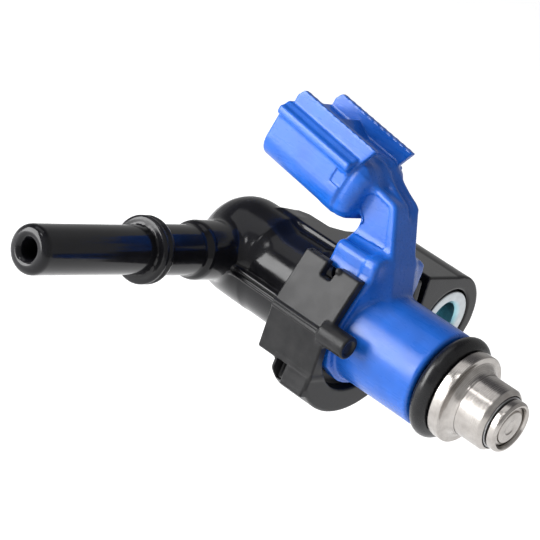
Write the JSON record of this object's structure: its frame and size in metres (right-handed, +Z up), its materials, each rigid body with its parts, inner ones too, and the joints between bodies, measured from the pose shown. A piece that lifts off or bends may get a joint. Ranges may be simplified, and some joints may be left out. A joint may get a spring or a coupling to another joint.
{
  "type": "fuel injector",
  "caption": "Electronic fuel injector clipped into an elbow fuel joint with a quick-connect spigot, a bolted ear and a two-pin connector.",
  "frame": {"origin": "on the injector's axis, in the plane of the ear's mounting face, where the manifold port holds it", "axes": "+X along the injector to its nozzle, +Y towards the mounting ear with the fuel spigot on -Y, +Z up towards the electrical connector"},
  "size_m": [0.0669, 0.0878, 0.046],
  "materials": {
    "black_nylon": "glossy moulded black nylon",
    "clip_plastic": "satin dark grey plastic",
    "blue_nylon": "satin moulded bright blue nylon",
    "rubber": "oiled black fluorocarbon rubber",
    "zinc_steel": "zinc plated steel",
    "stainless": "turned stainless steel",
    "magnetic_steel": "machined magnetic steel",
    "ball_steel": "polished ball",
    "tinned_brass": "tin plated terminals",
    "brass": "plain brass",
    "copper": "enamelled copper wire",
    "bobbin_nylon": "natural glass filled nylon"
  },
  "bodies": {
    "root": {"fuel_joint": "black_nylon", "mount_bush": "zinc_steel", "retaining_clip": "clip_plastic", "injector_housing": "blue_nylon", "terminal_left": "tinned_brass", "terminal_right": "tinned_brass", "upper_o_ring": "rubber", "backup_ring": "bobbin_nylon", "inlet_core": "magnetic_steel", "filter_frame": "brass", "filter_screen": "stainless", "adjusting_sleeve": "stainless", "return_spring": "stainless", "coil_bobbin_tube": "bobbin_nylon", "coil_winding": "copper", "magnet_case": "magnetic_steel", "isolating_sleeve": "stainless", "nozzle_body": "stainless", "valve_seat": "magnetic_steel", "orifice_plate": "stainless", "tip_ring": "stainless", "lower_o_ring": "rubber", "retaining_ring": "stainless"},
    "valve": {"armature": "magnetic_steel", "valve_needle": "stainless", "valve_ball": "ball_steel"}
  },
  "joints": [
    {"name": "valve_lift", "type": "slide", "parent": "root", "child": "valve", "axis": [-1, 0, 0], "range_m": [0, 0.00008], "stiffness_N_per_m": 200, "deforming": ["return_spring"]}
  ]
}
